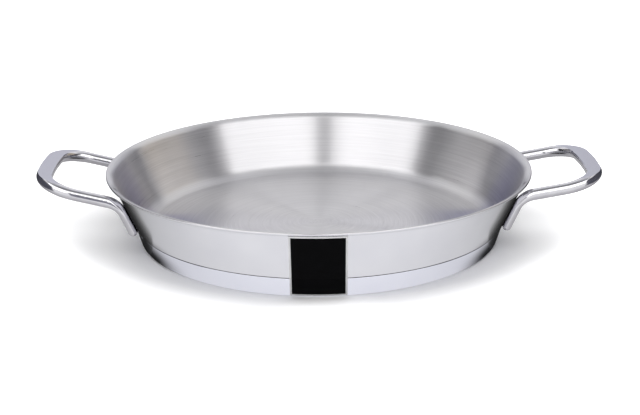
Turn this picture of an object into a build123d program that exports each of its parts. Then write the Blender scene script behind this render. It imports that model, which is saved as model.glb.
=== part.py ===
from build123d import *
import os
from math import asin, cos, radians, sin, tan

# Small two-handled pan: a pressed steel shell on an encapsulated base, with two welded bar handles.
# Millimetres and degrees. The pan stands on Z = 0 with its centre on the Z axis; the handles lie along X.
# Every round piece is drawn as an outline in radius (X) and height (Y), and turned about the Z axis.

os.makedirs("parts", exist_ok=True)

# Shell: one piece of stainless steel sheet
rim_diameter = 240.0
pan_height = 40.0
shell_sheet = 1.2
wall_lean = 23.5  # from the vertical
floor_height = 4.8  # cooking surface above the table
floor_corner_radius = 9.0  # inside, between floor and wall
lip_width = 3.4  # from the corner where wall and lip would meet to the rim
lip_radius = 5.0  # on top, where the wall rolls over into the lip
lip_rise = 8.0  # slope of the lip, up towards the rim
rim_edge_radius = 0.5
ledge_edge_radius = 0.2

# Encapsulated base: a steel cap pressed up round an aluminium disc
base_diameter = 204.0
base_corner_radius = 1.6
seam_height = 11.2  # ledge in the wall that the cap's edge comes up to
seam_gap = 0.5  # between that ledge and the cap's edge
seam_step = 0.25  # how far the cap's edge stands inside the wall
cap_sheet = 0.5
crimp_height = 3.0  # part of the cap's side that is pressed to the shell
core_stop = 2.4  # from the crimp down to the top of the aluminium
dish_diameter = 168.0  # the middle of the base is pressed in, so that it stands on a ring
dish_depth = 0.4

# Handles: a round bar, bent, with its grip pressed flat on top and its feet pressed to the wall
bar_diameter = 6.4
leg_spacing = 70.6  # between the centre lines of the two legs
right_leg_rise = 9.8  # slope of the legs, up and away from the pan
left_leg_rise = 13.8  # bent up a little more than the right one
right_knee_height = 29.8  # where the centre lines of leg and foot would meet
left_knee_height = 28.7
knee_radius = 11.0
grip_distance = 44.1  # from the knees, along the legs, to the centre line of the grip's middle
grip_corner_radius = 19.5
grip_bow_radius = 240.0
grip_width = 9.2
grip_depth = 8.0  # before its top is pressed flat
grip_belly = 2.9  # from the bar's centre line down to the underside of the grip
grip_flat_height = 3.1  # from the bar's centre line up to the flat, at the grip's middle
grip_flat_tilt = 3.0  # at this angle to the legs, the flat runs out on top of them
foot_width = 10.0
foot_thickness = 4.8
foot_bite = 0.7  # how far in the bar's centre line comes, against a round bar that only touches the wall
foot_clearance = 0.8  # from the seam's ledge up to the end of the foot

# Spot welds: two nuggets under each foot
nugget_diameter = 3.6
nugget_in_wall = 0.4
nugget_in_foot = 0.5
nugget_spacing = 5.2
nugget_edge_distance = 3.4  # from the end of the foot to the centre of the first nugget

# Label: thin film wrapped over the front of the wall and the cap
label_width = 29.0
label_film = 0.15
label_top_drop = 2.6  # from the rim down to the label
label_bottom = 0.5  # height of its lower edge, on the rounded corner of the base
label_turn = -1.4  # it sits a little off the middle between the handles

rim_radius = rim_diameter / 2
base_radius = base_diameter / 2
bar_radius = bar_diameter / 2
crimp_end = seam_height - crimp_height
bow_centre = grip_distance - grip_bow_radius
corner_side = leg_spacing / 2 - grip_corner_radius
bow_turn = asin(corner_side / (grip_bow_radius - grip_corner_radius))
corner_centre = bow_centre + (grip_bow_radius - grip_corner_radius) * cos(bow_turn)
lip_corner = Vector(rim_radius - lip_width, pan_height - lip_width * tan(radians(lip_rise)))


def line(point, slope, shift=0.0):
    """A line of an outline: through a point, at a slope from the level, moved to its right by shift."""
    along = Vector(cos(radians(slope)), sin(radians(slope)))
    return Vector(point) + Vector(along.Y, -along.X) * shift, along


def crossing(first, second):
    """The point where two lines meet."""
    start, along = first
    other_start, other_along = second
    return start + along * ((other_start - start).cross(other_along).Z / along.cross(other_along).Z)


def level(height):
    """A level line."""
    return line((0, height), 0)


def upright(radius):
    """A vertical line."""
    return line((radius, 0), 90)


def floor_line(depth=0.0):
    """The floor, at a depth under the cooking surface."""
    return line((0, floor_height), 0, depth)


def wall_line(depth=0.0):
    """The wall, at a depth behind its inner face."""
    return line(lip_corner, 90 - wall_lean, depth)


def lip_line(depth=0.0):
    """The lip, at a depth under its top."""
    return line(lip_corner, lip_rise, depth)


seam_point = crossing(wall_line(shell_sheet), level(seam_height))
cap_slope = 90 - (seam_point - Vector(seam_step + base_radius, 0)).get_angle(Vector(0, 1))


def cap_line(depth=0.0):
    """The cap's side, at a depth behind its outer face. It is straight, from the base to the seam."""
    return line((base_radius, 0), cap_slope, -depth)


def turned(points, radii):
    """The solid that a closed outline makes when it turns about the Z axis. Its corners are rounded."""
    outline = FilletPolyline(*points, radius=radii, close=True)
    return revolve(Plane.XZ * make_face(outline), Axis.Z)


def tangent_length(radius, turn):
    """How far from its corner an arc of this radius starts, where the outline turns by this angle."""
    return radius * tan(radians(turn) / 2)


def shell_outside():
    """The shell's outer outline with its corner radii, from the floor's underside up to the rim.
    Below its ledge, the wall is set back as a seat for the cap's crimped edge."""
    seat_end = crossing(cap_line(cap_sheet), level(crimp_end))
    corner = crossing(cap_line(cap_sheet), floor_line(shell_sheet))
    corner_radius = (seat_end - corner).length / tangent_length(1, cap_slope)
    points = [
        corner,
        crossing(cap_line(cap_sheet), level(seam_height)),
        seam_point,
        crossing(wall_line(shell_sheet), lip_line(shell_sheet)),
        crossing(lip_line(shell_sheet), upright(rim_radius)),
        crossing(lip_line(), upright(rim_radius)),
    ]
    radii = [corner_radius, 0, ledge_edge_radius, lip_radius - shell_sheet, rim_edge_radius, rim_edge_radius]
    return points, radii


def make_shell_envelope():
    """Everything within the shell's outer surface, without the hollow."""
    points, radii = shell_outside()
    bottom, top = (0, points[0].Y), (0, points[-1].Y)
    return turned([bottom, *points, top], [0, *radii, 0])


def make_shell():
    points, radii = shell_outside()
    inner_points = [lip_corner, crossing(wall_line(), floor_line()), (0, floor_height)]
    return turned(
        [(0, points[0].Y), *points, *inner_points],
        [0, *radii, lip_radius, floor_corner_radius, 0],
    )


def cap_floor(depth):
    """The dished underside of the base, at a depth inside the cap: its middle, and the edge of the dish."""
    return (0, dish_depth + depth), (dish_diameter / 2, depth)


def make_cap():
    edge_height = seam_height - seam_gap
    middle, dish_edge = cap_floor(0)
    inner_middle, inner_dish_edge = cap_floor(cap_sheet)
    return turned(
        [
            middle,
            dish_edge,
            (base_radius, 0),
            crossing(cap_line(), level(edge_height)),
            crossing(cap_line(cap_sheet), level(edge_height)),
            crossing(cap_line(cap_sheet), level(cap_sheet)),
            inner_dish_edge,
            inner_middle,
        ],
        [0, 0, base_corner_radius, cap_sheet / 2, 0, base_corner_radius - cap_sheet, 0, 0],
    )


def make_core(shell_envelope):
    """The aluminium fills the cap up to its top, and lies against the shell's floor and corner."""
    top = crimp_end - core_stop
    middle, dish_edge = cap_floor(cap_sheet)
    filling = turned(
        [
            middle,
            dish_edge,
            crossing(cap_line(cap_sheet), level(cap_sheet)),
            crossing(cap_line(cap_sheet), level(top)),
            (0, top),
        ],
        [0, 0, base_corner_radius - cap_sheet, 0, 0],
    )
    return filling - shell_envelope


class Handle:
    """One handle, drawn as the right one. Its front half is built: a foot, a leg, and half of the grip."""

    def __init__(self, leg_rise, knee_height):
        # The foot runs straight down the wall, at this turn about the Z axis
        bar_off_wall = bar_radius - foot_bite
        knee_wall_height = knee_height + bar_off_wall * sin(radians(wall_lean))
        knee_wall_radius = crossing(wall_line(shell_sheet), level(knee_wall_height)).X
        knee_distance = knee_wall_radius + bar_off_wall * cos(radians(wall_lean))
        foot_turn = asin(leg_spacing / 2 / knee_distance)
        level_out = Vector(cos(foot_turn), -sin(foot_turn), 0)
        self.off_wall = level_out * cos(radians(wall_lean)) - Vector(0, 0, sin(radians(wall_lean)))
        self.down_wall = -level_out * sin(radians(wall_lean)) - Vector(0, 0, cos(radians(wall_lean)))
        self.knee = Vector(knee_distance * cos(foot_turn), -leg_spacing / 2, knee_height)
        self.knee_on_wall = self.knee - self.off_wall * bar_off_wall
        self.foot_length = (knee_wall_height - seam_height - foot_clearance) / cos(radians(wall_lean))
        self.foot_oval = Pos(0, foot_thickness - 2 * bar_off_wall) * Ellipse(foot_width / 2, bar_off_wall)

        # The handle's own plane: origin between the two knees, its X along the legs
        self.leg_out = Vector(cos(radians(leg_rise)), 0, sin(radians(leg_rise)))
        upwards = Vector(-self.leg_out.Z, 0, self.leg_out.X)
        self.plane = Plane((self.knee.X, 0, knee_height), x_dir=self.leg_out, z_dir=upwards)
        self.knee_bend = tangent_length(knee_radius, self.leg_out.get_angle(-self.down_wall))

    def foot_section(self, distance):
        """Section plane across the foot, at a distance down from the knee, with its Y away from the wall."""
        across = self.off_wall.cross(self.down_wall)
        return Plane(self.knee + self.down_wall * distance, x_dir=across, z_dir=self.down_wall)

    def arc_plane(self, centre, radius, angle):
        """Section plane on an arc of the grip, with its X towards the arc's centre and its Y up."""
        outwards = Vector(cos(angle), sin(angle))
        along = (-outwards.Y, outwards.X, 0)
        return self.plane * Plane(centre + outwards * radius, x_dir=-outwards, z_dir=along)

    def arc(self, centre, radius, start, end):
        """An arc of the handle's centre line, from one angle to another."""
        points = [centre + Vector(cos(angle), sin(angle)) * radius for angle in (start, (start + end) / 2, end)]
        return self.plane * ThreePointArc(*points)

    def make_foot(self):
        """The pressed foot, from the end of the bend to just above the seam. It is later cut to the wall."""
        start = self.foot_section(self.knee_bend) * self.foot_oval
        return extrude(start, self.foot_length - self.knee_bend, dir=self.down_wall)

    def make_leg(self):
        """The bend at the knee, in which the pressed foot turns into the round bar, and the straight leg."""
        leg_end = self.plane.from_local_coords(Vector(corner_centre, -leg_spacing / 2, 0))
        foot_end = self.knee + self.down_wall * (self.knee_bend + knee_radius)
        bend, leg = FilletPolyline(foot_end, self.knee, leg_end, radius=knee_radius).edges()[1:]
        oval_end = self.foot_section(self.knee_bend) * self.foot_oval
        round_end = Plane(leg @ 0, x_dir=(0, 1, 0), z_dir=-self.leg_out) * Circle(bar_radius)
        turning = sweep([oval_end, round_end], bend, multisection=True)
        return turning + extrude(round_end, leg.length, dir=self.leg_out)

    def make_grip_half(self):
        """The corner, in which the round bar widens, and half of the bowed grip."""
        corner = Vector(corner_centre, -corner_side)
        bow = Vector(bow_centre, 0)
        oval = Pos(0, grip_depth / 2 - grip_belly) * Ellipse(grip_width / 2, grip_depth / 2)
        corner_arc = self.arc(corner, grip_corner_radius, -radians(90), -bow_turn)
        round_end = self.arc_plane(corner, grip_corner_radius, -radians(90)) * Circle(bar_radius)
        oval_end = self.arc_plane(corner, grip_corner_radius, -bow_turn) * oval
        widening = sweep([round_end, oval_end], corner_arc, multisection=True)
        return widening + sweep(oval_end, self.arc(bow, grip_bow_radius, -bow_turn, 0))

    def make_nuggets(self):
        """Its weld nuggets, which lie half in the feet and half in the wall."""
        nuggets = []
        for row in range(2):
            distance = self.foot_length - nugget_edge_distance - row * nugget_spacing
            base = self.knee_on_wall + self.down_wall * distance - self.off_wall * nugget_in_wall
            disc = Plane(base, z_dir=self.off_wall) * Circle(nugget_diameter / 2)
            nugget = extrude(disc, nugget_in_wall + nugget_in_foot, dir=self.off_wall)
            nuggets += [nugget, mirror(nugget, Plane.XZ)]
        return nuggets

    def make_bar(self, shell_envelope):
        """The whole bar: two mirrored halves, pressed flat on top of the grip, cut to the wall and welded."""
        half = self.make_foot() + self.make_leg() + self.make_grip_half()
        tilt = radians(grip_flat_tilt)
        flat = self.plane * Plane((grip_distance, 0, grip_flat_height), z_dir=(sin(tilt), 0, cos(tilt)))
        pressed = split(half + mirror(half, Plane.XZ), Plane(flat), keep=Keep.BOTTOM)
        return pressed - shell_envelope - self.make_nuggets()


def make_cover(film):
    """Everything within a film of this thickness over the cap, the seam, the wall and the lip's underside."""
    lip_underside = lip_line(shell_sheet + film)
    points = [
        crossing(cap_line(-film), level(-film)),
        crossing(cap_line(-film), level(seam_height - seam_gap)),
        crossing(wall_line(shell_sheet + film), level(seam_height)),
        crossing(wall_line(shell_sheet + film), lip_underside),
        crossing(lip_underside, upright(rim_radius)),
    ]
    radii = [base_corner_radius + film, 0, 0, lip_radius - shell_sheet - film, 0]
    bottom, top = (0, points[0].Y), (0, points[-1].Y)
    return turned([bottom, *points, top], [0, *radii, 0])


def make_label():
    band = make_cover(label_film) - make_cover(0)
    height = pan_height - label_top_drop - label_bottom
    front = Box(label_width, rim_diameter, height, align=(Align.CENTER, Align.MAX, Align.MIN))
    return band & Rot(Z=label_turn) * Pos(Z=label_bottom) * front


shell_envelope = make_shell_envelope()
right = Handle(right_leg_rise, right_knee_height)
left = Handle(left_leg_rise, left_knee_height)
right_nuggets = right.make_nuggets()
left_nuggets = [mirror(nugget, Plane.YZ) for nugget in left.make_nuggets()]

pieces = {
    "pan_body": make_shell() - right_nuggets - left_nuggets,
    "heat_core_disc": make_core(shell_envelope),
    "base_cap": make_cap(),
    "right_handle": right.make_bar(shell_envelope),
    "left_handle": mirror(left.make_bar(shell_envelope), Plane.YZ),
    "right_handle_spot_welds": Compound(right_nuggets),
    "left_handle_spot_welds": Compound(left_nuggets),
    "label": make_label(),
}
for name, piece in pieces.items():
    export_step(piece, f"parts/{name}.step")
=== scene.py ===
from math import asin, atan2, cos, degrees, pi, radians, sin, tan

import bmesh
import bpy
from mathutils import Matrix, Vector


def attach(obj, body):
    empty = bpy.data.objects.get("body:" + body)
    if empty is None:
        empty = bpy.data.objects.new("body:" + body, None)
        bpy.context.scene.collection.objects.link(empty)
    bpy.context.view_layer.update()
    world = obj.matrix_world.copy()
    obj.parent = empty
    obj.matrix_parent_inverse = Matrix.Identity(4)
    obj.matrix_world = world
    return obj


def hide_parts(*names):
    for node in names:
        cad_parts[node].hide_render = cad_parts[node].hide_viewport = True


# A shallow steel pan with two welded bar handles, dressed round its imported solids.
# The pan's sizes are in millimetres and degrees, as in the solids' source. Its studio is in metres.

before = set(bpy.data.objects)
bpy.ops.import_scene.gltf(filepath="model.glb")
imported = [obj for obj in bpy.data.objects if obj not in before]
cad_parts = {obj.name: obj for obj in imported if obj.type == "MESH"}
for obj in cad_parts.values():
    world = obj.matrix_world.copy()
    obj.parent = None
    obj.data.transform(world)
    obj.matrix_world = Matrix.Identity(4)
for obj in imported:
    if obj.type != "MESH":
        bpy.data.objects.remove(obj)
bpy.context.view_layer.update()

MM = 0.001

# Shell
RIM_RADIUS = 120.0
PAN_HEIGHT = 40.0
SHELL_SHEET = 1.2
WALL_LEAN = 23.5  # from the vertical
FLOOR_HEIGHT = 4.8  # of the cooking surface
FLOOR_CORNER_RADIUS = 9.0  # inside, between floor and wall
SEAT_CORNER_RADIUS = 6.4  # outside, between floor and wall
LIP_WIDTH = 3.4  # from the corner where wall and lip would meet to the rim
LIP_RADIUS = 5.0  # on top, where the wall rolls over into the lip
LIP_RISE = 8.0  # slope of the lip, up towards the rim
RIM_EDGE_RADIUS = 0.5
LEDGE_EDGE_RADIUS = 0.2

# Cap
BASE_RADIUS = 102.0
BASE_CORNER_RADIUS = 1.6
CAP_SHEET = 0.5
CAP_EDGE_RADIUS = 0.24
SEAM_HEIGHT = 11.2  # ledge in the wall that the cap's edge comes up to
SEAM_GAP = 0.5  # between that ledge and the cap's edge
SEAM_STEP = 0.25  # how far the cap's edge stands inside the wall
SEAM_DEPTH = 5.2  # down from the ledge, the steel behind the cap is painted dark, as shade in the seam
DISH_RADIUS = 84.0  # the middle of the base is pressed in, so that it stands on a ring
DISH_DEPTH = 0.4

# Label
LABEL_FILM = 0.15
LABEL_OFF_WALL = 0.03  # its back stays clear of the wall, so that no two faces coincide
LABEL_WIDTH = 29.0
LABEL_BORDER = 1.0
LABEL_BOTTOM = 0.5
LABEL_TOP = 37.4
LABEL_TURN = -1.4  # it sits a little off the middle between the handles

# Handles
BAR_RADIUS = 3.2
LEG_SPACING = 70.6  # between the centre lines of the two legs
KNEE_RADIUS = 11.0
FOOT_WIDTH = 10.0
FOOT_THICKNESS = 4.8
FOOT_OFF_WALL = 2.5  # from the wall to the bar's centre line
FOOT_CLEARANCE = 0.8  # from the seam's ledge up to the end of the foot
FOOT_EDGE_RADIUS = 0.7
GRIP_DISTANCE = 44.1  # from the knees, along the legs, to the centre line of the grip's middle
GRIP_CORNER_RADIUS = 19.5
GRIP_BOW_RADIUS = 240.0
GRIP_WIDTH = 9.2
GRIP_DEPTH = 8.0  # before its top is pressed flat
GRIP_BELLY = 2.9  # from the bar's centre line down to the underside of the grip
GRIP_FLAT_HEIGHT = 3.1  # from the bar's centre line up to the flat, at the grip's middle
GRIP_FLAT_TILT = 3.0  # slope of the flat against the legs
RIGHT_HANDLE = {"leg_rise": 9.8, "knee_height": 29.8}
LEFT_HANDLE = {"leg_rise": 13.8, "knee_height": 28.7}

# How fine the meshes are
TURN_STEPS = 360
ARC_STEP = 6  # degrees of an outline's arc
LEAST_ARC_EDGES = 4
LONGEST_EDGE = 6  # of an outline
LABEL_STEPS = 48
BAR_SIDES = 96
FOOT_STEPS, KNEE_STEPS, LEG_STEPS, CORNER_STEPS, BOW_STEPS = 8, 20, 24, 36, 16


# Outlines of the round pieces, in radius and height

def line(point, slope, shift=0.0):
    """A line of an outline: through a point, at a slope from the level, moved to its right by shift."""
    along = Vector((cos(radians(slope)), sin(radians(slope))))
    return Vector(point) + Vector((along.y, -along.x)) * shift, along


def crossing(first, second):
    """The point where two lines meet."""
    start, along = first
    other_start, other_along = second
    return start + along * ((other_start - start).cross(other_along) / along.cross(other_along))


def level(height):
    """A level line."""
    return line((0, height), 0)


def upright(radius):
    """A vertical line."""
    return line((radius, 0), 90)


lip_corner = Vector((RIM_RADIUS - LIP_WIDTH, PAN_HEIGHT - LIP_WIDTH * tan(radians(LIP_RISE))))


def wall_line(depth=0.0):
    """The wall, at a depth behind its inner face."""
    return line(lip_corner, 90 - WALL_LEAN, depth)


def lip_line(depth=0.0):
    """The lip, at a depth under its top."""
    return line(lip_corner, LIP_RISE, depth)


# The seam's ledge starts here, on the wall's outer face, and the cap's side slopes up to just inside of it
seam_point = crossing(wall_line(SHELL_SHEET), level(SEAM_HEIGHT))
cap_slope = degrees(atan2(SEAM_HEIGHT, seam_point.x - SEAM_STEP - BASE_RADIUS))
cap_top = level(SEAM_HEIGHT - SEAM_GAP)


def cap_line(depth=0.0):
    """The cap's side, at a depth behind its outer face."""
    return line((BASE_RADIUS, 0), cap_slope, -depth)


def shell_outline():
    """The shell, from the middle of its underside round the rim to the middle of its floor: the corners, each
    with its radius."""
    underside = level(FLOOR_HEIGHT - SHELL_SHEET)
    return [
        ((0, FLOOR_HEIGHT - SHELL_SHEET), 0),
        (crossing(cap_line(CAP_SHEET), underside), SEAT_CORNER_RADIUS),
        (crossing(cap_line(CAP_SHEET), level(SEAM_HEIGHT)), 0),
        (seam_point, LEDGE_EDGE_RADIUS),
        (crossing(wall_line(SHELL_SHEET), lip_line(SHELL_SHEET)), LIP_RADIUS - SHELL_SHEET),
        (crossing(lip_line(SHELL_SHEET), upright(RIM_RADIUS)), RIM_EDGE_RADIUS),
        (crossing(lip_line(), upright(RIM_RADIUS)), RIM_EDGE_RADIUS),
        (lip_corner, LIP_RADIUS),
        (crossing(wall_line(), level(FLOOR_HEIGHT)), FLOOR_CORNER_RADIUS),
        ((0, FLOOR_HEIGHT), 0),
    ]


def cap_outline():
    """The cap, from the middle of its underside round its edge to the middle of its inside."""
    return [
        ((0, DISH_DEPTH), 0),
        ((DISH_RADIUS, 0), 0),
        ((BASE_RADIUS, 0), BASE_CORNER_RADIUS),
        (crossing(cap_line(), cap_top), CAP_EDGE_RADIUS),
        (crossing(cap_line(CAP_SHEET), cap_top), 0),
        (crossing(cap_line(CAP_SHEET), level(CAP_SHEET)), BASE_CORNER_RADIUS - CAP_SHEET),
        ((DISH_RADIUS, CAP_SHEET), 0),
        ((0, DISH_DEPTH + CAP_SHEET), 0),
    ]


def label_outline():
    """The front of the label's film, from under the base to the rim, before it is cut to its height."""
    film_on_cap = cap_line(-LABEL_FILM)
    film_on_wall = wall_line(SHELL_SHEET + LABEL_FILM)
    film_on_lip = lip_line(SHELL_SHEET + LABEL_FILM)
    return [
        ((BASE_RADIUS - BASE_CORNER_RADIUS, -LABEL_FILM), 0),
        (crossing(film_on_cap, level(-LABEL_FILM)), BASE_CORNER_RADIUS + LABEL_FILM),
        (crossing(film_on_cap, cap_top), 0),
        (crossing(film_on_wall, level(SEAM_HEIGHT)), 0),
        (crossing(film_on_wall, film_on_lip), LIP_RADIUS - SHELL_SHEET - LABEL_FILM),
        (crossing(film_on_lip, upright(RIM_RADIUS)), 0),
    ]


# Colours and materials

def colour(hex_value):
    """Linear colour of an sRGB hex value."""
    channels = [int(hex_value[i:i + 2], 16) / 255 for i in (1, 3, 5)]
    return [c / 12.92 if c <= 0.04045 else ((c + 0.055) / 1.055) ** 2.4 for c in channels] + [1]


def add_node(material, kind, settings=None, **inputs):
    """Adds a node. Settings are its properties. Each input is a value or the output of another node. It is
    named with _ for a space, or by its place, as i0 or i1."""
    tree = material.node_tree
    node = tree.nodes.new("ShaderNode" + kind)
    for name, value in (settings or {}).items():
        setattr(node, name, value)
    for name, value in inputs.items():
        by_place = name[0] == "i" and name[1:].isdigit()
        socket = node.inputs[int(name[1:]) if by_place else name.replace("_", " ")]
        if isinstance(value, bpy.types.NodeSocket):
            tree.links.new(value, socket)
        else:
            socket.default_value = value
    return node


def new_material(name):
    """An empty node material."""
    material = bpy.data.materials.new(name)
    material.use_nodes = True
    material.node_tree.nodes.clear()
    return material


def show_surface(material, shader):
    """Makes a shader the material's surface."""
    add_node(material, "OutputMaterial", Surface=shader.outputs[0])
    return material


def round_position(material):
    """Place on a round piece, in millimetres: distance from its axis, height, and seamless direction."""
    place = add_node(material, "TexCoord").outputs["Object"]
    flat = add_node(material, "VectorMath", {"operation": "MULTIPLY"}, i0=place, i1=(1 / MM, 1 / MM, 0))
    height = add_node(material, "VectorMath", {"operation": "DOT_PRODUCT"}, i0=place, i1=(0, 0, 1 / MM))
    distance = add_node(material, "VectorMath", {"operation": "LENGTH"}, i0=flat.outputs[0])
    direction = add_node(material, "VectorMath", {"operation": "NORMALIZE"}, i0=flat.outputs[0])
    return distance.outputs["Value"], height.outputs["Value"], direction.outputs[0]


def brushed_lines(material, pitch, sweep):
    """Noise drawn out round the axis, as a turning brush leaves it: pitch in mm across the lines, and how
    fast it changes round the piece."""
    distance, height, direction = round_position(material)
    across = add_node(material, "CombineXYZ", X=distance, Y=height)
    scaled = add_node(material, "VectorMath", {"operation": "SCALE"}, i0=across.outputs[0], Scale=1 / pitch)
    around = add_node(material, "VectorMath", {"operation": "SCALE"}, i0=direction, Scale=sweep)
    # The direction is stood upright and moved off, to change the noise apart from distance and height
    turned = add_node(material, "Mapping", {"vector_type": "POINT"}, Vector=around.outputs[0],
                      Rotation=(radians(90), 0, 0), Location=(0, 0, 40))
    spot = add_node(material, "VectorMath", {"operation": "ADD"}, i0=scaled.outputs[0], i1=turned.outputs[0])
    return add_node(material, "TexNoise", Vector=spot.outputs[0], Scale=1.0, Detail=2.0,
                    Roughness=0.6).outputs["Fac"]


def spread(material, value, low, high):
    """Turns a noise value from its usual 0.3 to 0.7 into a range."""
    return add_node(material, "MapRange", Value=value, From_Min=0.3, From_Max=0.7, To_Min=low,
                    To_Max=high).outputs[0]


def two_tones(material, value, first, second):
    """A colour that goes from one tone to another with a noise value."""
    return add_node(material, "Mix", {"data_type": "RGBA"}, Factor=spread(material, value, 0, 1),
                    A=colour(first), B=colour(second)).outputs[2]


def relief(material, value, strength, depth):
    """Small relief from a noise value, with its depth in metres."""
    return add_node(material, "Bump", Strength=strength, Distance=depth, Height=value).outputs[0]


def make_satin_steel():
    """Stainless steel, brushed round while it turned: fine rings, and light that stretches across them."""
    material = new_material("stainless_steel_turned_satin")
    # The real grit lines are near 0.1 mm apart; they are drawn at 0.5 mm and 1.6 mm so that they show
    fine = brushed_lines(material, 0.5, 3.0)
    broad = brushed_lines(material, 1.6, 1.2)
    both = add_node(material, "Math", {"operation": "ADD"}, i0=fine, i1=broad).outputs[0]
    lines = add_node(material, "Math", {"operation": "MULTIPLY"}, i0=both, i1=0.5).outputs[0]
    tangent = add_node(material, "Tangent", {"direction_type": "RADIAL", "axis": "Z"}).outputs[0]
    steel = add_node(material, "BsdfPrincipled", Metallic=1.0, Anisotropic=1.0, Anisotropic_Rotation=0.25,
                     Tangent=tangent, Base_Color=two_tones(material, lines, "#CECDCF", "#E3E2E4"),
                     Roughness=spread(material, lines, 0.27, 0.33),
                     Normal=relief(material, lines, 0.07, 0.0002))
    return show_surface(material, steel)


def make_polished_steel(name, light, dark, roughness):
    """Stainless steel, buffed bright: clear reflections, softened by faint buffing lines round the piece."""
    material = new_material(name)
    # Buffing lines are finer than 0.1 mm; they are drawn at 0.7 mm. The tone changes over patches near 17 mm
    lines = brushed_lines(material, 0.7, 2.0)
    place = add_node(material, "TexCoord").outputs["Object"]
    clouds = add_node(material, "TexNoise", Vector=place, Scale=60.0, Detail=3.0).outputs["Fac"]
    steel = add_node(material, "BsdfPrincipled", Metallic=1.0,
                     Base_Color=two_tones(material, clouds, dark, light),
                     Roughness=spread(material, lines, roughness - 0.02, roughness + 0.03),
                     Normal=relief(material, lines, 0.03, 0.0002))
    return show_surface(material, steel)


def make_bar_steel():
    """Stainless steel bar, polished with a belt: bright, with faint scratches along the legs."""
    material = new_material("stainless_steel_bar_polished")
    place = add_node(material, "TexCoord").outputs["Object"]
    # The belt's scratches are finer than 0.1 mm; they are drawn 0.7 mm wide and 3 mm long so that they show
    along_legs = add_node(material, "Mapping", Vector=place, Scale=(300, 1400, 1400)).outputs[0]
    scratches = add_node(material, "TexNoise", Vector=along_legs, Scale=1.0, Detail=3.0).outputs["Fac"]
    clouds = add_node(material, "TexNoise", Vector=place, Scale=110.0, Detail=2.0).outputs["Fac"]
    steel = add_node(material, "BsdfPrincipled", Metallic=1.0,
                     Base_Color=two_tones(material, clouds, "#D6D5DA", "#E2E1E5"),
                     Roughness=spread(material, scratches, 0.12, 0.18),
                     Normal=relief(material, scratches, 0.04, 0.0001))
    return show_surface(material, steel)


def make_pressed_steel():
    """Stainless steel pressed flat in a die and left satin: an even soft grey with a fine grain."""
    material = new_material("stainless_steel_pressed_satin")
    place = add_node(material, "TexCoord").outputs["Object"]
    # The die's grain is near 0.1 mm; it is drawn at 0.4 mm so that it shows
    grain = add_node(material, "TexNoise", Vector=place, Scale=2500.0, Detail=3.0).outputs["Fac"]
    steel = add_node(material, "BsdfPrincipled", Metallic=1.0,
                     Base_Color=two_tones(material, grain, "#C2C2CD", "#CECED9"),
                     Roughness=spread(material, grain, 0.38, 0.46),
                     Normal=relief(material, grain, 0.15, 0.0001))
    return show_surface(material, steel)


def make_core_aluminium():
    """Rolled aluminium, sealed inside the base: dull and pale, with a grain along the way it was rolled."""
    material = new_material("aluminium_rolled")
    place = add_node(material, "TexCoord").outputs["Object"]
    along_roll = add_node(material, "Mapping", Vector=place, Scale=(60, 2500, 2500)).outputs[0]
    grain = add_node(material, "TexNoise", Vector=along_roll, Scale=1.0, Detail=2.0).outputs["Fac"]
    metal = add_node(material, "BsdfPrincipled", Metallic=1.0,
                     Base_Color=two_tones(material, grain, "#C6C8CA", "#D6D8DA"),
                     Roughness=spread(material, grain, 0.35, 0.5))
    return show_surface(material, metal)


def make_weld_steel():
    """Fused steel of a spot weld: grey with darker heat marks near 1 mm across."""
    material = new_material("stainless_steel_spot_weld")
    place = add_node(material, "TexCoord").outputs["Object"]
    marks = add_node(material, "TexNoise", Vector=place, Scale=900.0, Detail=3.0).outputs["Fac"]
    metal = add_node(material, "BsdfPrincipled", Metallic=1.0,
                     Base_Color=two_tones(material, marks, "#7C7870", "#A9A7A6"),
                     Roughness=spread(material, marks, 0.4, 0.6))
    return show_surface(material, metal)


def make_seam_shade_steel():
    """Steel deep in the seam between wall and cap, painted dull and dark as the shade in that groove."""
    material = new_material("steel_seam_painted_shade")
    place = add_node(material, "TexCoord").outputs["Object"]
    marks = add_node(material, "TexNoise", Vector=place, Scale=300.0, Detail=2.0).outputs["Fac"]
    steel = add_node(material, "BsdfPrincipled", Metallic=1.0,
                     Base_Color=two_tones(material, marks, "#3C3C40", "#5A5A5E"),
                     Roughness=spread(material, marks, 0.5, 0.6))
    return show_surface(material, steel)


def make_film(name, light, dark, roughness):
    """Polyester film: even colour, a soft gloss, and a very slight waviness where it is stuck down."""
    material = new_material(name)
    place = add_node(material, "TexCoord").outputs["Object"]
    waves = add_node(material, "TexNoise", Vector=place, Scale=140.0, Detail=2.0).outputs["Fac"]
    film = add_node(material, "BsdfPrincipled", Metallic=0.0, IOR=1.57, Specular_IOR_Level=0.02,
                    Base_Color=two_tones(material, waves, dark, light),
                    Roughness=spread(material, waves, roughness, roughness + 0.06),
                    Normal=relief(material, waves, 0.05, 0.0003))
    return show_surface(material, film)


# Meshes

def finish_mesh(name, bm, materials, replaced):
    """Makes a finished piece of a bmesh that is drawn in millimetres."""
    bmesh.ops.scale(bm, vec=(MM, MM, MM), verts=bm.verts)
    for face in bm.faces:
        face.smooth = True
    mesh = bpy.data.meshes.new(name)
    bm.to_mesh(mesh)
    bm.free()
    for material in materials:
        mesh.materials.append(material)
    piece = bpy.data.objects.new(name, mesh)
    bpy.context.scene.collection.objects.link(piece)
    weigh = piece.modifiers.new("even_shading", "WEIGHTED_NORMAL")
    weigh.mode = "FACE_AREA"
    weigh.weight = 90
    weigh.keep_sharp = True
    bpy.context.view_layer.update()
    depsgraph = bpy.context.evaluated_depsgraph_get()
    shaded = piece.evaluated_get(depsgraph)
    piece.data = bpy.data.meshes.new_from_object(shaded, preserve_all_data_layers=True, depsgraph=depsgraph)
    piece.data.name = name
    piece.modifiers.clear()
    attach(piece, "root")
    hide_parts(replaced)


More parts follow.
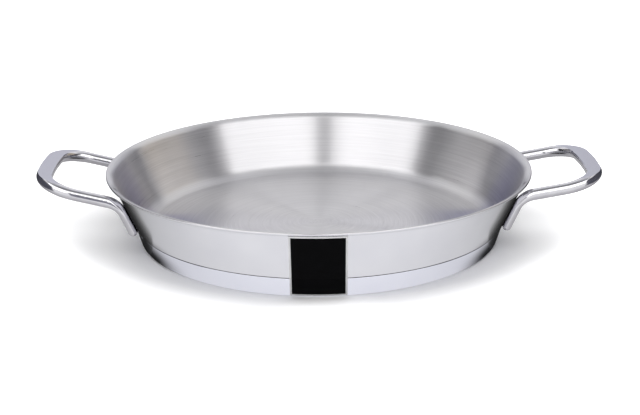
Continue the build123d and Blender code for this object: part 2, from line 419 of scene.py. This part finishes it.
def draw_outline(bm, corners):
    """Draws an outline in the XZ plane, rounds its corners and divides its long edges."""
    verts = [bm.verts.new((point[0], 0, point[1])) for point, _ in corners]
    for pair in zip(verts, verts[1:]):
        bm.edges.new(pair)
    for vert, (_, corner_radius) in zip(verts, corners):
        if corner_radius:
            first, second = [edge.other_vert(vert).co - vert.co for edge in vert.link_edges]
            turn = pi - first.angle(second)
            bmesh.ops.bevel(bm, geom=[vert], offset=corner_radius * tan(turn / 2), offset_type="OFFSET",
                            segments=max(LEAST_ARC_EDGES, round(degrees(turn) / ARC_STEP)), profile=0.5,
                            affect="VERTICES", material=-1)
    for edge in [edge for edge in bm.edges if edge.calc_length() > LONGEST_EDGE]:
        bmesh.ops.subdivide_edges(bm, edges=[edge], cuts=int(edge.calc_length() / LONGEST_EDGE))


def turn_about_axis(bm, angle, steps, closed):
    """Turns what is drawn about the Z axis into a surface."""
    bmesh.ops.spin(bm, geom=bm.verts[:] + bm.edges[:], cent=(0, 0, 0), axis=(0, 0, 1), dvec=(0, 0, 0),
                   angle=angle, steps=steps, use_merge=closed)


def make_round_piece(corners):
    """A round piece: its outline, turned once about the Z axis."""
    bm = bmesh.new()
    draw_outline(bm, corners)
    turn_about_axis(bm, 2 * pi, TURN_STEPS, True)
    bmesh.ops.remove_doubles(bm, verts=bm.verts, dist=0.001)
    bmesh.ops.recalc_face_normals(bm, faces=bm.faces)
    return bm


def make_pan_body(satin, polished, dull):
    """The shell: satin inside and on the lip, polished outside, and painted dark in the seam behind the cap,
    as shade in that groove.
    """
    bm = make_round_piece(shell_outline())
    cap_edge = crossing(cap_line(), cap_top)
    margin = 0.1
    for face in bm.faces:
        middle = face.calc_center_median()
        faces_up = face.normal.z > 0.05
        # Faces deep in the seam behind the cap take the painted seam shade
        behind_cap = (middle.xy.length < cap_edge.x + margin
                      and SEAM_HEIGHT - SEAM_DEPTH < middle.z < SEAM_HEIGHT + margin)
        face.material_index = 0 if faces_up else 2 if behind_cap else 1
    finish_mesh("pan_shell", bm, [satin, polished, dull], "pan_body")


def make_base_cap(polished):
    """The cap: one steel, polished all over."""
    finish_mesh("base_cup", make_round_piece(cap_outline()), [polished], "base_cap")


def make_label(black, white):
    """A thin film wrapped over the wall and the base, cut upright at its sides, with a white border."""
    side, inner_side = LABEL_WIDTH / 2, LABEL_WIDTH / 2 - LABEL_BORDER
    inner_top, inner_bottom = LABEL_TOP - LABEL_BORDER, LABEL_BOTTOM + LABEL_BORDER
    bm = bmesh.new()
    draw_outline(bm, label_outline())
    # A band round the front that is wider than the label even under the base, where it is nearest to the axis
    half_angle = asin(side / (BASE_RADIUS - BASE_CORNER_RADIUS)) * 1.05
    bmesh.ops.rotate(bm, verts=bm.verts, cent=(0, 0, 0), matrix=Matrix.Rotation(-pi / 2 - half_angle, 3, "Z"))
    turn_about_axis(bm, 2 * half_angle, LABEL_STEPS, False)
    # Cuts along its edges and its border: a point, a direction, and whether what lies beyond goes
    cuts = [((sign * reach, 0, 0), (sign, 0, 0), reach == side)
            for sign in (-1, 1) for reach in (side, inner_side)]
    cuts += [((0, 0, LABEL_TOP), (0, 0, 1), True), ((0, 0, inner_top), (0, 0, 1), False),
             ((0, 0, LABEL_BOTTOM), (0, 0, -1), True), ((0, 0, inner_bottom), (0, 0, -1), False)]
    for point, direction, outermost in cuts:
        bmesh.ops.bisect_plane(bm, geom=bm.verts[:] + bm.edges[:] + bm.faces[:], dist=0.0001, plane_co=point,
                               plane_no=direction, clear_outer=outermost)
    bmesh.ops.recalc_face_normals(bm, faces=bm.faces)
    if sum(face.normal.y for face in bm.faces) > 0:
        bmesh.ops.reverse_faces(bm, faces=bm.faces)
    for face in bm.faces:
        middle = face.calc_center_median()
        inside_border = abs(middle.x) <= inner_side and inner_bottom <= middle.z <= inner_top
        face.material_index = 0 if inside_border else 1
    bmesh.ops.solidify(bm, geom=bm.faces[:], thickness=LABEL_FILM - LABEL_OFF_WALL)
    bmesh.ops.rotate(bm, verts=bm.verts, cent=(0, 0, 0), matrix=Matrix.Rotation(radians(LABEL_TURN), 3, "Z"))
    finish_mesh("front_label", bm, [black, white], "label")


def place_on_bar(origin, outwards, travel):
    """A place on the bar's centre line. Its Y points away from the wall, or down from the handle, and its Z
    along the bar."""
    placed = Matrix((outwards.cross(travel), outwards, travel)).transposed().to_4x4()
    placed.translation = origin
    return placed


def section_on(place, half_width, half_depth, shift):
    """Lays a unit circle out as the bar's section at a place."""
    return place @ Matrix.Translation((0, shift, 0)) @ Matrix.Diagonal((half_width, half_depth, 1, 1))


def blend(first, second, share):
    """The sizes or colours that lie between two others, at a share of the way."""
    return [a + (b - a) * share for a, b in zip(first, second)]


def handle_sections(leg_rise, knee_height):
    """The sections of the front half of the right handle, from the end of its foot to the middle of its grip,
    and the plane to which its top is pressed."""
    rise, lean = radians(leg_rise), radians(WALL_LEAN)

    # The knee is where foot and leg would meet. It stands off from a point a little higher on the wall
    wall_height = knee_height + FOOT_OFF_WALL * sin(lean)
    wall_radius = crossing(wall_line(SHELL_SHEET), level(wall_height)).x
    knee_distance = wall_radius + FOOT_OFF_WALL * cos(lean)
    foot_turn = asin(LEG_SPACING / 2 / knee_distance)
    foot_length = (wall_height - SEAM_HEIGHT - FOOT_CLEARANCE) / cos(lean)
    knee = Vector((knee_distance * cos(foot_turn), -LEG_SPACING / 2, knee_height))

    # Directions of the foot on the wall, and of the leg
    level_out = Vector((cos(foot_turn), -sin(foot_turn), 0))
    off_wall = level_out * cos(lean) - Vector((0, 0, sin(lean)))
    up_wall = level_out * sin(lean) + Vector((0, 0, cos(lean)))
    leg_out = Vector((cos(rise), 0, sin(rise)))
    upwards = Vector((-sin(rise), 0, cos(rise)))

    # Half width, half depth and shift of the section
    foot_size = (FOOT_WIDTH / 2, FOOT_OFF_WALL, FOOT_THICKNESS - 2 * FOOT_OFF_WALL)
    bar_size = (BAR_RADIUS, BAR_RADIUS, 0)
    grip_size = (GRIP_WIDTH / 2, GRIP_DEPTH / 2, GRIP_BELLY - GRIP_DEPTH / 2)
    sections = []

    # The foot, straight up the wall
    bend_angle = up_wall.angle(leg_out)
    bend_reach = KNEE_RADIUS * tan(bend_angle / 2)
    for step in range(FOOT_STEPS + 1):
        distance = foot_length + (bend_reach - foot_length) * step / FOOT_STEPS
        place = place_on_bar(knee - up_wall * distance, off_wall, up_wall)
        sections.append(section_on(place, *foot_size))

    # The knee, in which the pressed foot turns into the round bar and its outer side into the underside
    bend_axis = up_wall.cross(leg_out).normalized()
    bend_start = knee - up_wall * bend_reach
    bend_centre = bend_start + bend_axis.cross(up_wall) * KNEE_RADIUS
    carried = Matrix.Rotation(bend_angle, 3, bend_axis) @ off_wall
    twist = carried.angle(-upwards) * (1 if carried.cross(-upwards).dot(leg_out) > 0 else -1)
    for step in range(1, KNEE_STEPS + 1):
        share = step / KNEE_STEPS
        bent = Matrix.Rotation(bend_angle * share, 3, bend_axis)
        travel = bent @ up_wall
        outwards = Matrix.Rotation(twist * share, 3, travel) @ (bent @ off_wall)
        place = place_on_bar(bend_centre + bent @ (bend_start - bend_centre), outwards, travel)
        sections.append(section_on(place, *blend(foot_size, bar_size, share)))

    def in_handle(along, across):
        """A point in the plane of the handle, along its legs from the knees and across from its middle."""
        return Vector((knee.x, across, knee.z)) + leg_out * along

    # The leg
    bow_centre = GRIP_DISTANCE - GRIP_BOW_RADIUS
    corner_side = LEG_SPACING / 2 - GRIP_CORNER_RADIUS
    bow_turn = asin(corner_side / (GRIP_BOW_RADIUS - GRIP_CORNER_RADIUS))
    corner_centre = bow_centre + (GRIP_BOW_RADIUS - GRIP_CORNER_RADIUS) * cos(bow_turn)
    for step in range(1, LEG_STEPS):
        along = bend_reach + (corner_centre - bend_reach) * step / LEG_STEPS
        place = place_on_bar(in_handle(along, -LEG_SPACING / 2), -upwards, leg_out)
        sections.append(section_on(place, *bar_size))

    def on_arc(centre, radius, angle):
        """A place on the bar where it follows an arc of the handle."""
        origin = in_handle(centre[0] + radius * cos(angle), centre[1] + radius * sin(angle))
        travel = leg_out * -sin(angle) + Vector((0, cos(angle), 0))
        return place_on_bar(origin, -upwards, travel)

    # The corner, in which the round bar widens, and half of the bowed grip
    for step in range(CORNER_STEPS + 1):
        share = step / CORNER_STEPS
        angle = -pi / 2 + (pi / 2 - bow_turn) * share
        place = on_arc((corner_centre, -corner_side), GRIP_CORNER_RADIUS, angle)
        sections.append(section_on(place, *blend(bar_size, grip_size, share)))
    for step in range(1, BOW_STEPS + 1):
        place = on_arc((bow_centre, 0), GRIP_BOW_RADIUS, -bow_turn * (1 - step / BOW_STEPS))
        sections.append(section_on(place, *grip_size))

    tilt = radians(GRIP_FLAT_TILT)
    flat_point = in_handle(GRIP_DISTANCE, 0) + upwards * GRIP_FLAT_HEIGHT
    flat_normal = leg_out * sin(tilt) + upwards * cos(tilt)
    return sections, flat_point, flat_normal


def make_handle(name, sizes, side, replaced, materials):
    """One bar: a circle drawn out along foot, knee, leg and half of the grip, pressed flat on top and
    mirrored. Side is 1 for the right handle and -1 for the left one."""
    sections, flat_point, flat_normal = handle_sections(**sizes)
    bm = bmesh.new()
    ring = bmesh.ops.create_circle(bm, cap_ends=True, segments=BAR_SIDES, radius=1)["verts"]
    bmesh.ops.transform(bm, matrix=sections[0], verts=ring)
    edges = bm.edges[:]
    for previous, following in zip(sections, sections[1:]):
        drawn = bmesh.ops.extrude_edge_only(bm, edges=edges)["geom"]
        ring = [item for item in drawn if isinstance(item, bmesh.types.BMVert)]
        edges = [item for item in drawn if isinstance(item, bmesh.types.BMEdge)]
        bmesh.ops.transform(bm, matrix=following @ previous.inverted(), verts=ring)
    end_edges = [edge for edge in bm.edges if any(len(face.verts) > 4 for face in edge.link_faces)]
    bmesh.ops.bevel(bm, geom=end_edges, offset=FOOT_EDGE_RADIUS, offset_type="OFFSET", segments=3,
                    profile=0.5, affect="EDGES", material=-1, clamp_overlap=True)
    # Everything above the flat's plane is pressed down to it
    bmesh.ops.bisect_plane(bm, geom=bm.verts[:] + bm.edges[:] + bm.faces[:], dist=0.02, plane_co=flat_point,
                           plane_no=flat_normal)
    for vert in bm.verts:
        above = (vert.co - flat_point).dot(flat_normal)
        if above > 0:
            vert.co -= flat_normal * above
    bmesh.ops.mirror(bm, geom=bm.verts[:] + bm.edges[:] + bm.faces[:], matrix=Matrix.Identity(4),
                     merge_dist=0.01, axis="Y")
    bmesh.ops.remove_doubles(bm, verts=bm.verts, dist=0.01)
    bmesh.ops.recalc_face_normals(bm, faces=bm.faces)
    for face in bm.faces:
        on_flat = all(abs((vert.co - flat_point).dot(flat_normal)) < 0.005 for vert in face.verts)
        face.material_index = 1 if on_flat else 0
    for edge in bm.edges:
        if len({face.material_index for face in edge.link_faces}) == 2:
            edge.smooth = False
    if side < 0:
        bmesh.ops.scale(bm, vec=(-1, 1, 1), verts=bm.verts)
        bmesh.ops.reverse_faces(bm, faces=bm.faces)
    finish_mesh(name, bm, materials, replaced)


polished_steel = make_polished_steel("stainless_steel_buffed", "#E1E1E5", "#DDDDE2", 0.14)
cap_steel = make_polished_steel("stainless_steel_buffed_cap", "#E9EAF3", "#E5E6F0", 0.13)
handle_steels = [make_bar_steel(), make_pressed_steel()]
weld_steel = make_weld_steel()

make_pan_body(make_satin_steel(), polished_steel, make_seam_shade_steel())
make_base_cap(cap_steel)
make_handle("right_bar_handle", RIGHT_HANDLE, 1, "right_handle", handle_steels)
make_handle("left_bar_handle", LEFT_HANDLE, -1, "left_handle", handle_steels)
make_label(make_film("polyester_film_black", "#08080A", "#050506", 0.55),
           make_film("polyester_film_white", "#F4F4F4", "#ECECED", 0.35))

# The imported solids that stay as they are
for node, material in (("heat_core_disc", make_core_aluminium()), ("right_handle_spot_welds", weld_steel),
                       ("left_handle_spot_welds", weld_steel)):
    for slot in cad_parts[node].material_slots:
        slot.material = material


# Floor and surroundings

# How the floor's shadow fades for the camera: painted light, a glow that the floor gives of its own, lightens
# it. Each row is a centre, two distances from it, and that light at each, as a share of white. Between the
# two distances that light changes smoothly.
SHADOW_FADES = [
    ((0, -0.006), (0.09, 0.175), (0, 0.32)),  # all round the pan
    ((0, 0.05), (0.147, 0.176), (0, 0.35)),  # all round it again, but closest in front
    ((0, -0.006), (0.3, 1.0), (0, 0.6)),  # far off, where the floor meets the white surroundings
    ((0.17, 0.05), (0.06, 0.105), (0.13, 0)),  # painted light on the shadow behind the right foot
    ((0.003, -0.135), (0.018, 0.042), (0.28, 0)),  # painted light on the shadow in front of the label
]


def seen_by(material, *kinds):
    """1 for these kinds of rays and 0 for all others."""
    path = add_node(material, "LightPath")
    total = path.outputs[kinds[0]]
    for kind in kinds[1:]:
        total = add_node(material, "Math", {"operation": "ADD", "use_clamp": True}, i0=total,
                         i1=path.outputs[kind]).outputs[0]
    return total


def ramp(material, value, start, end, low, high):
    """A smooth ramp from low to high as the value goes from start to end."""
    return add_node(material, "MapRange", {"interpolation_type": "SMOOTHSTEP"}, Value=value, From_Min=start,
                    From_Max=end, To_Min=low, To_Max=high).outputs[0]


def product(material, first, second):
    """Two values multiplied."""
    return add_node(material, "Math", {"operation": "MULTIPLY"}, i0=first, i1=second).outputs[0]


def distance_from(material, place, x, y):
    """How far the place is from a point of the floor."""
    moved = add_node(material, "VectorMath", {"operation": "ADD"}, i0=place, i1=(-x, -y, 0)).outputs[0]
    return add_node(material, "VectorMath", {"operation": "LENGTH"}, i0=moved).outputs["Value"]


def show_to_camera(material, place):
    """A white painted board, whose shadow is lightened by painted light, a glow of its own, and fades into
    the white surroundings.
    """
    light = 0.0
    for (x, y), (near, far), (near_light, far_light) in SHADOW_FADES:
        fade = ramp(material, distance_from(material, place, x, y), near, far, near_light, far_light)
        light = add_node(material, "Math", {"operation": "ADD"}, i0=light, i1=fade).outputs[0]
    strength = product(material, light, seen_by(material, "Is Camera Ray"))
    board = add_node(material, "BsdfDiffuse", Color=colour("#F4F4F5")).outputs[0]
    own_light = add_node(material, "Emission", Color=(1, 1, 1, 1), Strength=strength).outputs[0]
    return add_node(material, "AddShader", i0=board, i1=own_light).outputs[0]


def show_to_steel(material, place):
    """What the steel reflects, the floor's own glow: white before the pan, greyer beside it, and a painted
    shadow, nearly black, under its sides.
    """
    depth = add_node(material, "SeparateXYZ", Vector=place).outputs["Y"]
    front_to_back = add_node(material, "MapRange", Value=depth, From_Min=-0.115, From_Max=-0.01, To_Min=0.98,
                             To_Max=0.45).outputs[0]
    # Painted shadow under the pan's sides, which only the steel sees
    painted_shadow_below = ramp(material, distance_from(material, place, 0, 0.014), 0.1105, 0.1190, 0.97, 0)
    painted_shadow_beside = product(material, ramp(material, depth, 0.02, 0.06, 1, 0),
                       ramp(material, depth, -0.078, -0.050, 0, 1))
    clear_of_painted_shadow = add_node(material, "Math", {"operation": "SUBTRACT"}, i0=1.0,
                         i1=product(material, painted_shadow_beside, painted_shadow_below)).outputs[0]
    return add_node(material, "Emission", Color=colour("#FDFDFF"),
                    Strength=product(material, front_to_back, clear_of_painted_shadow)).outputs[0]


def studio_object(name, bm, material):
    """Makes an object of a bmesh in metres."""
    mesh = bpy.data.meshes.new(name)
    bm.to_mesh(mesh)
    bm.free()
    mesh.materials.append(material)
    piece = bpy.data.objects.new(name, mesh)
    bpy.context.scene.collection.objects.link(piece)
    return piece


def make_floor():
    """A wide pale floor, 12 m across. The camera and the steel see it each in its own way."""
    bm = bmesh.new()
    bmesh.ops.create_grid(bm, x_segments=1, y_segments=1, size=6)
    material = new_material("painted_board_white")
    place = add_node(material, "TexCoord").outputs["Object"]
    in_reflections = seen_by(material, "Is Glossy Ray", "Is Transmission Ray")
    show_surface(material, add_node(material, "MixShader", Fac=in_reflections,
                                    i1=show_to_camera(material, place), i2=show_to_steel(material, place)))
    floor = studio_object("floor", bm, material)


def make_world():
    """Even white surroundings for the camera and for reflections, and a soft fill for everything else."""
    world = bpy.data.worlds.new("studio")
    bpy.context.scene.world = world
    world.use_nodes = True
    world.node_tree.nodes.clear()
    fill = add_node(world, "Background", Color=(1, 1, 1, 1), Strength=0.2).outputs[0]
    white = add_node(world, "Background", Color=(1, 1, 1, 1), Strength=1.0).outputs[0]
    in_view = seen_by(world, "Is Camera Ray", "Is Glossy Ray", "Is Transmission Ray")
    mixed = add_node(world, "MixShader", Fac=in_view, i1=fill, i2=white)
    add_node(world, "OutputWorld", Surface=mixed.outputs[0])


# Lights and cards

def make_softbox(name, place, aim, size, power):
    """A soft lamp at a place, turned to a point, with its power in watts."""
    light = bpy.data.lights.new(name, "AREA")
    light.shape = "RECTANGLE"
    light.size, light.size_y = size
    light.energy = power
    lamp = bpy.data.objects.new(name, light)
    bpy.context.scene.collection.objects.link(lamp)
    lamp.location = place
    lamp.rotation_euler = (Vector(aim) - Vector(place)).to_track_quat("-Z", "Y").to_euler()
    return lamp


def ease(share):
    """A smooth step from 0 to 1."""
    share = min(max(share, 0), 1)
    return share * share * (3 - 2 * share)


def make_card(name, placed, shade_at, one_sided=False):
    """A card that only reflections see. Its colour is given over its width and height, each from 0 to 1. A
    one-sided card is clear from behind, and as clear in front as its colour says."""
    bm = bmesh.new()
    bmesh.ops.create_grid(bm, x_segments=12, y_segments=12, size=0.5)
    bmesh.ops.translate(bm, verts=bm.verts, vec=(0.5, 0.5, 0))
    shades = bm.verts.layers.float_color.new("shade")
    for vert in bm.verts:
        vert[shades] = shade_at(vert.co.x, vert.co.y)
    bmesh.ops.transform(bm, matrix=placed, verts=bm.verts)
    if placed.determinant() < 0:
        bmesh.ops.reverse_faces(bm, faces=bm.faces)
    material = new_material("card_" + name)
    shade = add_node(material, "VertexColor", {"layer_name": "shade"}).outputs
    surface = add_node(material, "Emission", Color=shade["Color"], Strength=1.0)
    if one_sided:
        clear = add_node(material, "BsdfTransparent").outputs[0]
        veil = add_node(material, "MixShader", Fac=shade["Alpha"], i1=clear, i2=surface.outputs[0]).outputs[0]
        from_behind = add_node(material, "NewGeometry").outputs["Backfacing"]
        surface = add_node(material, "MixShader", Fac=from_behind, i1=veil, i2=clear)
    show_surface(material, surface)
    card = studio_object(name, bm, material)
    card.visible_camera = card.visible_diffuse = card.visible_shadow = False


def make_flag(name, place, aim, size, grey, other_grey=None, graded_up=True):
    """A card in the studio, in one grey, or graded up or across to another."""
    first, last = colour(grey), colour(other_grey or grey)
    turned = (Vector(aim) - Vector(place)).to_track_quat("-Z", "Y").to_matrix().to_4x4()
    placed = (Matrix.Translation(place) @ turned @ Matrix.Diagonal((size[0], size[1], 1, 1))
              @ Matrix.Translation((-0.5, -0.5, 0)))
    make_card(name, placed, lambda across, up: blend(first, last, up if graded_up else across))


def make_standing_card(name, side, foot, lean, size, shade_at):
    """A small card that stands square to the front by the wall, leaning as the wall does. Only what is in
    front of it sees it. Its foot is its inner corner on the left or right side, as x, y and z."""
    width, height = size
    placed = Matrix(((side * width, side * lean * height, 0, side * foot[0]), (0, 0, -1, foot[1]),
                     (0, height, 0, foot[2]), (0, 0, 0, 1)))
    make_card(name, placed, shade_at, one_sided=True)


def painted_shadow_by_foot(off_wall, up):
    """Painted shadow by the front feet: black at the wall, and grey away from it."""
    return [0.016 + 0.54 * off_wall ** 2.2] * 3 + [1]


def painted_shade_veil(off_middle, up):
    """Painted shade on the inner wall's ends: a dark blue veil, clear at both its edges and its top."""
    share = 0.46 * ease(off_middle / 0.8) * ease((1 - off_middle) / 0.17) * (1 - ease((up - 0.35) / 0.5))
    return [*colour("#222C86")[:3], share]


def make_camera():
    """The photograph's viewpoint, in metres and degrees."""
    distance, drop, aim_height = 0.72, 18.4273, 0.01335
    turn, yaw, roll = 1.1, 0.0461, -0.4903
    data = bpy.data.cameras.new("camera")
    data.sensor_width = 36
    data.lens = 70.197
    data.clip_start = 0.01
    camera = bpy.data.objects.new("camera", data)
    bpy.context.scene.collection.objects.link(camera)
    camera.matrix_world = (
        Matrix.Rotation(-radians(turn), 4, "Z")
        @ Matrix.Translation((0, -distance * cos(radians(drop)), aim_height + distance * sin(radians(drop))))
        @ Matrix.Rotation(-radians(yaw), 4, "Z")
        @ Matrix.Rotation(radians(90 - drop), 4, "X")
        @ Matrix.Rotation(radians(roll), 4, "Z")
    )
    bpy.context.scene.camera = camera


make_floor()
make_world()

# Lamps: place, aim, size and power. Both keys show only in reflections, and the one on top shows in none
make_softbox("key_left", (-1.02, -1.03, 1.3), (0.08, -0.29, 0), (2.18, 1.2), 10.8).visible_diffuse = False
make_softbox("key_right", (0.747, -1.218, 1.3), (-0.12, -0.22, 0), (2.01, 1.2), 9.6).visible_diffuse = False
make_softbox("top", (0, -0.05, 1.2), (0, -0.05, 0), (2.2, 1.8), 24.5).visible_glossy = False

# Cards on the left of the pan, from front to back: place, aim, size and grey
make_flag("dark_left", (-1.6, -0.145, 0.8), (0, -0.145, 0.8), (0.79, 1.6), "#262628")
make_flag("warm_left", (-1.45, 0.75, 0.5), (0, 0.75, 0.5), (0.98, 1.1), "#8E8C8C")
make_flag("cool_left", (-0.75, 1.4, 0.45), (-0.5, 0, 0.45), (1.5, 1.0), "#FAFAFF", "#5A5A64", False)

# Cards on the right of it, from front to back
make_flag("dark_right", (1.45, -0.19, 0.8), (0, -0.19, 0.8), (0.62, 1.6), "#68676A")
make_flag("warm_right", (1.45, 0.65, 0.5), (0, 0.65, 0.5), (1.05, 1.1), "#B9AE9E")
make_flag("cool_right", (0.75, 1.4, 0.45), (0.5, 0, 0.45), (1.5, 1.0), "#3C3C46", "#FAFAFF", False)

# Cards behind its middle
make_flag("back_middle", (0, 1.3, 0.45), (0, 0, 0.45), (0.16, 1.0), "#E8E8EC")
make_flag("low_back", (0, 1.38, 0.09), (0, 0, 0.09), (2.6, 0.26), "#34384C")

# The camera's stand in front of it, and a graded ceiling over it
make_flag("stand", (-0.17, -2.0, 0.9), (-0.17, 0, 0.9), (0.34, 1.8), "#66666A")
make_flag("overhead", (0, 0.35, 1.9), (0, 0.35, 0), (3.0, 2.1), "#2A2A2E", "#F6F7FB")

# Small cards close to the handles
make_flag("low_left", (-0.205, 0.045, 0.055), (0, 0.045, 0.055), (0.23, 0.08), "#060607", "#5C5C66", False)
make_flag("low_right", (0.206, 0.045, 0.055), (0, 0.045, 0.055), (0.23, 0.08), "#5C5C66", "#060607", False)
make_flag("streak", (-0.1265, -0.094, 0.038), (-0.1265, 0, 0.038), (0.034, 0.034), "#868690")

# Small cards close to the wall: black ones outside it by the front feet, a painted shadow that the wall
# reflects, and blue veils inside it at its ends, painted shade on the inner wall
for side, word in ((-1, "left"), (1, "right")):
    make_standing_card("shadow_card_" + word, side, (0.0910, -0.0407, 0.0005), 0.479, (0.020, 0.0395),
                       painted_shadow_by_foot)
    make_standing_card("inside_" + word, side, (0.052, 0.030, 0.010), 0.435, (0.046, 0.046), painted_shade_veil)

make_camera()
bpy.context.scene.view_settings.view_transform = "Standard"
